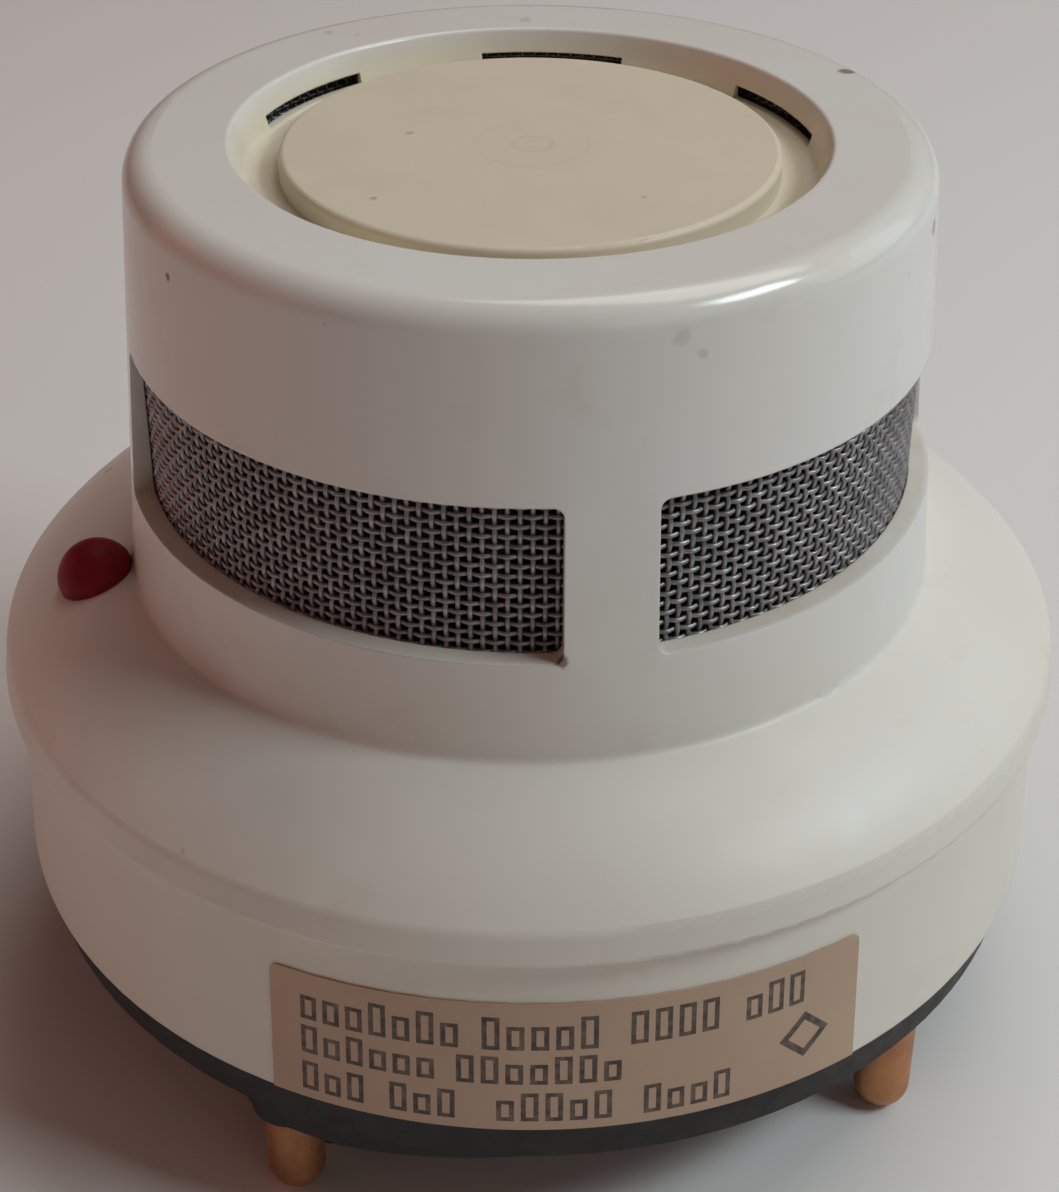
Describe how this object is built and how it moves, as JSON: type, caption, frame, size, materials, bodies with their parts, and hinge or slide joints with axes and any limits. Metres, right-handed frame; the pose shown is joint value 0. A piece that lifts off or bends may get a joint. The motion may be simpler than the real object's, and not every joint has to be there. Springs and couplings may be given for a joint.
{
  "type": "smoke detector head",
  "caption": "Plug-in optical smoke detector head: meshed windows under a dished cap, domed skirt with a red indicator lens, and a black base on contact feet.",
  "frame": {"origin": "centre of the plane through the tips of the contact feet", "axes": "+Z from the contact feet to the sensing end, -Y the front post of the cover, -X the indicator lens"},
  "size_m": [0.085, 0.085, 0.0724],
  "materials": {
    "cover_plastic": "moulded, glossy, slightly yellowed",
    "disc_plastic": "moulded, satin, yellowed",
    "screen_steel": "plain-woven wire",
    "red_lens": "clear red, polished",
    "label_film": "printed film, blank",
    "base_plastic": "moulded, satin",
    "contact_copper": "tarnished, satin",
    "spring_brass": "rolled strip",
    "board_laminate": "solder mask",
    "screw_steel": "zinc plated",
    "chip_plastic": "moulded epoxy",
    "capacitor_sleeve": "shrink sleeve",
    "tantalum_resin": "moulded",
    "ceramic_body": "fired ceramic",
    "tinned_steel": "tinned sheet",
    "chamber_plastic": "moulded, light absorbing",
    "emitter_resin": "clear blue tint",
    "detector_resin": "dark daylight filter"
  },
  "bodies": {
    "base": {"base_moulding": "base_plastic", "circuit_board": "board_laminate", "board_screws": "screw_steel", "microcontroller": "chip_plastic", "amplifier_chip": "chip_plastic", "electrolytic_capacitor": "capacitor_sleeve", "tantalum_capacitor": "tantalum_resin", "ceramic_capacitors": "ceramic_body", "resistors": "chip_plastic", "diode_bridge": "chip_plastic", "transistor": "chip_plastic", "shield_can": "tinned_steel", "indicator_led": "red_lens", "chamber_carrier": "chamber_plastic", "labyrinth": "chamber_plastic", "light_baffle": "chamber_plastic", "infrared_emitter": "emitter_resin", "photodiode": "detector_resin", "chamber_lid": "chamber_plastic", "contact_foot_1": "contact_copper", "contact_spring_1": "spring_brass", "contact_foot_2": "contact_copper", "contact_spring_2": "spring_brass", "contact_foot_3": "contact_copper", "contact_spring_3": "spring_brass", "contact_foot_4": "contact_copper", "contact_spring_4": "spring_brass"},
    "cover": {"outer_cover": "cover_plastic", "centre_disc": "disc_plastic", "insect_screen": "screen_steel", "vent_screen": "screen_steel", "screen_retainer": "cover_plastic", "led_lens": "red_lens", "rating_label": "label_film"}
  },
  "joints": [
    {"name": "cover_lift", "type": "slide", "parent": "base", "child": "cover", "axis": [0, 0, 1], "range_m": [0, 0.055]}
  ]
}
